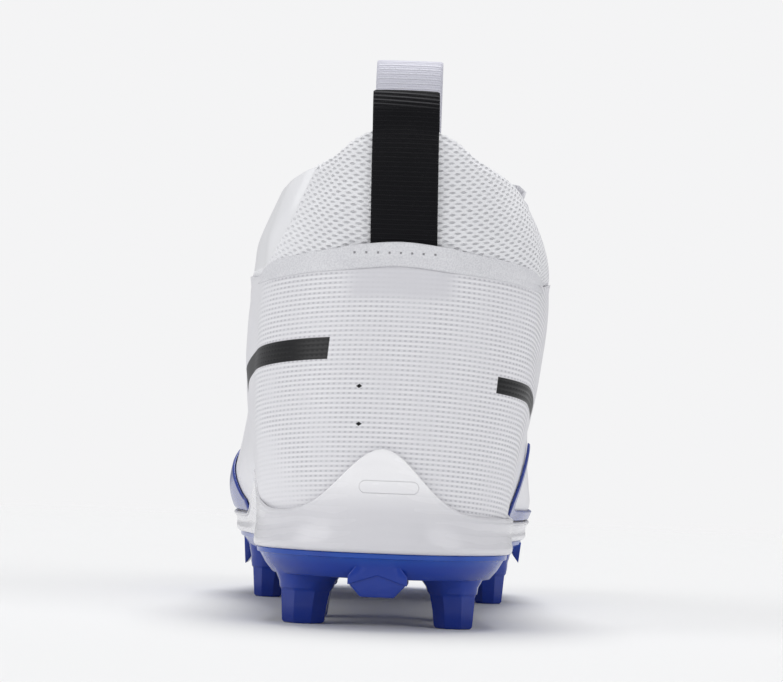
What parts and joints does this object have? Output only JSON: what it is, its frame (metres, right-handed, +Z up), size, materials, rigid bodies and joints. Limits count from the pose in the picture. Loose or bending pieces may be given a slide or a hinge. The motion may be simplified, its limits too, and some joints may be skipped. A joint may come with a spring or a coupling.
{
  "type": "american football cleat",
  "caption": "Left football cleat with a padded mid-height collar, laced throat, white chassis with a heel spur and a blue moulded studded outsole.",
  "frame": {"origin": "centre of the bounding box's base, on the floor under the stud tips", "axes": "+Z up, +Y from heel to toe, +X towards the medial side of this left shoe"},
  "size_m": [0.1108, 0.293, 0.1814],
  "materials": {
    "outsole": "glossy moulded plastic",
    "chassis": "satin moulded plastic",
    "upper": "coated ribbed textile",
    "collar": "open spacer mesh",
    "panel": "smooth satin film",
    "wrap": "smooth satin film",
    "heel_loop": "ribbed webbing",
    "tongue_loop": "fine webbing",
    "laces": "flat woven lace",
    "lining": "knitted lining"
  },
  "bodies": {
    "root": {"outsole": "outsole", "chassis": "chassis", "insole": "lining", "upper": "upper", "collar": "collar", "tongue": "lining", "panel_lateral": "panel", "panel_medial": "panel", "toe_wrap": "wrap", "heel_loop": "heel_loop", "tongue_loop": "tongue_loop", "laces": "laces"}
  },
  "joints": []
}
